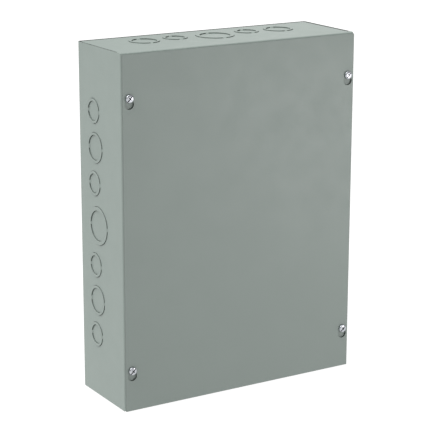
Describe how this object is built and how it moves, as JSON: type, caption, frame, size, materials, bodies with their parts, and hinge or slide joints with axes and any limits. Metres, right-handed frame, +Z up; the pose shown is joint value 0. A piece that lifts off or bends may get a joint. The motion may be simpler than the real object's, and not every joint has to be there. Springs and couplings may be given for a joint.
{
  "type": "pull box",
  "caption": "Tall shallow sheet-steel pull box with a flat cover held by screws in keyholes, and concentric knockouts in its side, top and bottom walls.",
  "frame": {"origin": "centre of the whole object's footprint, at the faces of the bottom knockout rings that it stands on", "axes": "+Z up along the box's height, -Y out of the cover, +X to the right as seen from the cover side"},
  "size_m": [0.3064, 0.1062, 0.408],
  "materials": {
    "body_shell_paint": "fine-textured grey powder coat, slightly green",
    "top_panel_paint": "fine-textured grey powder coat, slightly green",
    "bottom_panel_paint": "fine-textured grey powder coat, slightly green",
    "cover_paint": "fine-textured grey powder coat, slightly green",
    "knockout_ring_paint": "fine-textured grey powder coat, slightly green",
    "knockout_slug_paint": "fine-textured grey powder coat, slightly green",
    "zinc_screw": "bright zinc plate"
  },
  "bodies": {
    "enclosure": {"body_shell": "body_shell_paint", "top_panel": "top_panel_paint", "bottom_panel": "bottom_panel_paint", "knockout_ring_left_1": "knockout_ring_paint", "knockout_ring_left_2": "knockout_ring_paint", "knockout_ring_left_3": "knockout_ring_paint", "knockout_ring_left_4": "knockout_ring_paint", "knockout_ring_left_5": "knockout_ring_paint", "knockout_ring_left_6": "knockout_ring_paint", "knockout_ring_left_7": "knockout_ring_paint", "knockout_ring_right_1": "knockout_ring_paint", "knockout_ring_right_2": "knockout_ring_paint", "knockout_ring_right_3": "knockout_ring_paint", "knockout_ring_right_4": "knockout_ring_paint", "knockout_ring_right_5": "knockout_ring_paint", "knockout_ring_right_6": "knockout_ring_paint", "knockout_ring_right_7": "knockout_ring_paint", "knockout_ring_top_1": "knockout_ring_paint", "knockout_ring_top_2": "knockout_ring_paint", "knockout_ring_top_3": "knockout_ring_paint", "knockout_ring_top_4": "knockout_ring_paint", "knockout_ring_top_5": "knockout_ring_paint", "knockout_ring_bottom_1": "knockout_ring_paint", "knockout_ring_bottom_2": "knockout_ring_paint", "knockout_ring_bottom_3": "knockout_ring_paint", "knockout_ring_bottom_4": "knockout_ring_paint", "knockout_ring_bottom_5": "knockout_ring_paint", "knockout_slug_left_1": "knockout_slug_paint", "knockout_slug_left_2": "knockout_slug_paint", "knockout_slug_left_3": "knockout_slug_paint", "knockout_slug_left_4": "knockout_slug_paint", "knockout_slug_left_5": "knockout_slug_paint", "knockout_slug_left_6": "knockout_slug_paint", "knockout_slug_left_7": "knockout_slug_paint", "knockout_slug_right_1": "knockout_slug_paint", "knockout_slug_right_2": "knockout_slug_paint", "knockout_slug_right_3": "knockout_slug_paint", "knockout_slug_right_4": "knockout_slug_paint", "knockout_slug_right_5": "knockout_slug_paint", "knockout_slug_right_6": "knockout_slug_paint", "knockout_slug_right_7": "knockout_slug_paint", "knockout_slug_top_1": "knockout_slug_paint", "knockout_slug_top_2": "knockout_slug_paint", "knockout_slug_top_3": "knockout_slug_paint", "knockout_slug_top_4": "knockout_slug_paint", "knockout_slug_top_5": "knockout_slug_paint", "knockout_slug_bottom_1": "knockout_slug_paint", "knockout_slug_bottom_2": "knockout_slug_paint", "knockout_slug_bottom_3": "knockout_slug_paint", "knockout_slug_bottom_4": "knockout_slug_paint", "knockout_slug_bottom_5": "knockout_slug_paint"},
    "cover": {"cover": "cover_paint"},
    "screw_top_left": {"cover_screw_top_left": "zinc_screw"},
    "screw_top_right": {"cover_screw_top_right": "zinc_screw"},
    "screw_bottom_left": {"cover_screw_bottom_left": "zinc_screw"},
    "screw_bottom_right": {"cover_screw_bottom_right": "zinc_screw"}
  },
  "joints": [
    {"name": "cover_pull_off", "type": "slide", "parent": "enclosure", "child": "cover", "axis": [0, -1, 0], "range_m": [0, 0.15]},
    {"name": "screw_top_left_out", "type": "slide", "parent": "cover", "child": "screw_top_left", "axis": [0, -1, 0], "range_m": [0, 0.0127]},
    {"name": "screw_top_right_out", "type": "slide", "parent": "cover", "child": "screw_top_right", "axis": [0, -1, 0], "range_m": [0, 0.0127]},
    {"name": "screw_bottom_left_out", "type": "slide", "parent": "cover", "child": "screw_bottom_left", "axis": [0, -1, 0], "range_m": [0, 0.0127]},
    {"name": "screw_bottom_right_out", "type": "slide", "parent": "cover", "child": "screw_bottom_right", "axis": [0, -1, 0], "range_m": [0, 0.0127]}
  ]
}
